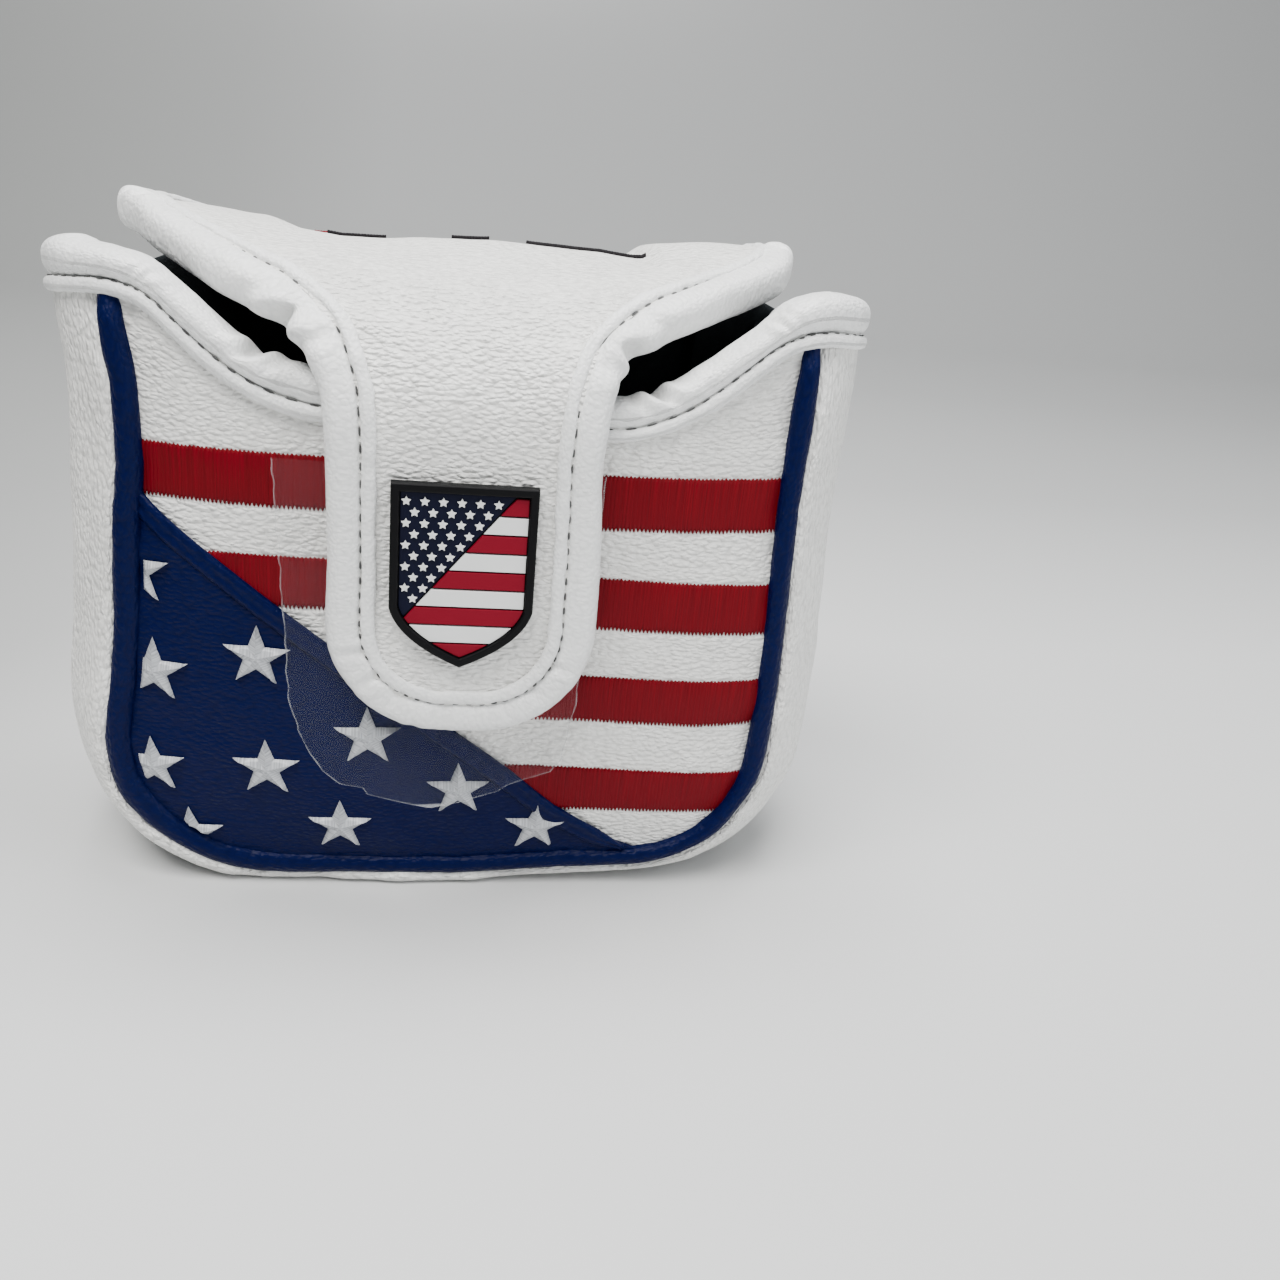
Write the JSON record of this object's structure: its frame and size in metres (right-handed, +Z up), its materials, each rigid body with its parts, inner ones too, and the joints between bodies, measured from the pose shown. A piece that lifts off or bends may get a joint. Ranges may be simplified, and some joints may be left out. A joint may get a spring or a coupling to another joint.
{
  "type": "mallet putter head cover",
  "caption": "Padded head cover for a mallet putter: a deep pouch with a fold-over crown and a magnetic front tongue, stars and stripes on the front.",
  "frame": {"origin": "middle of the flat bottom of the pouch, midway between the front and back seams, on the floor", "axes": "+Z up, front face and tongue towards -Y, X across the width"},
  "size_m": [0.135, 0.0671, 0.1147],
  "materials": {
    "white_leathercloth": "pebble grain, semi-matt",
    "navy_leathercloth": "smooth, semi-matt",
    "foam": "open-cell foam",
    "plush_lining": "short-pile plush",
    "red_thread": "satin-stitch embroidery",
    "silver_thread": "satin-stitch embroidery with a sheen",
    "magnet_steel": "nickel plated",
    "clear_film": "clear, glossy",
    "badge_black": "moulded soft plastic, matt",
    "badge_navy": "moulded soft plastic, matt",
    "badge_red": "moulded soft plastic, matt",
    "badge_white": "moulded soft plastic, matt"
  },
  "bodies": {
    "pouch": {"front_panel": "white_leathercloth", "back_panel": "white_leathercloth", "gusset": "white_leathercloth", "front_foam": "foam", "back_foam": "foam", "gusset_foam": "foam", "front_lining": "plush_lining", "back_lining": "plush_lining", "gusset_lining": "plush_lining", "front_piping": "navy_leathercloth", "back_piping": "navy_leathercloth", "mouth_binding": "white_leathercloth", "mouth_welt": "white_leathercloth", "star_field": "navy_leathercloth", "field_hem": "navy_leathercloth", "field_stars": "silver_thread", "front_stripes": "red_thread", "back_stripes": "red_thread", "panel_magnets": "magnet_steel", "protective_film": "clear_film"},
    "crown": {"crown_shell": "white_leathercloth", "crown_foam": "foam", "crown_lining": "plush_lining", "crown_binding": "white_leathercloth", "crown_welt": "white_leathercloth", "crown_embroidery": "red_thread"},
    "tongue": {"tongue_shell": "white_leathercloth", "tongue_foam": "foam", "tongue_lining": "plush_lining", "tongue_binding": "white_leathercloth", "tongue_welt": "white_leathercloth", "tongue_magnets": "magnet_steel", "badge_base": "badge_black", "badge_field": "badge_navy", "badge_red": "badge_red", "badge_white": "badge_white", "badge_stars": "badge_white"}
  },
  "joints": [
    {"name": "crown_open", "type": "hinge", "parent": "pouch", "child": "crown", "pos_m": [0, 0.0297, 0.097], "axis": [-1, 0, 0], "range_deg": [0, 120]},
    {"name": "tongue_lift", "type": "hinge", "parent": "crown", "child": "tongue", "pos_m": [0, -0.03623, 0.09109], "axis": [-1, 0, 0], "range_deg": [0, 85]}
  ]
}
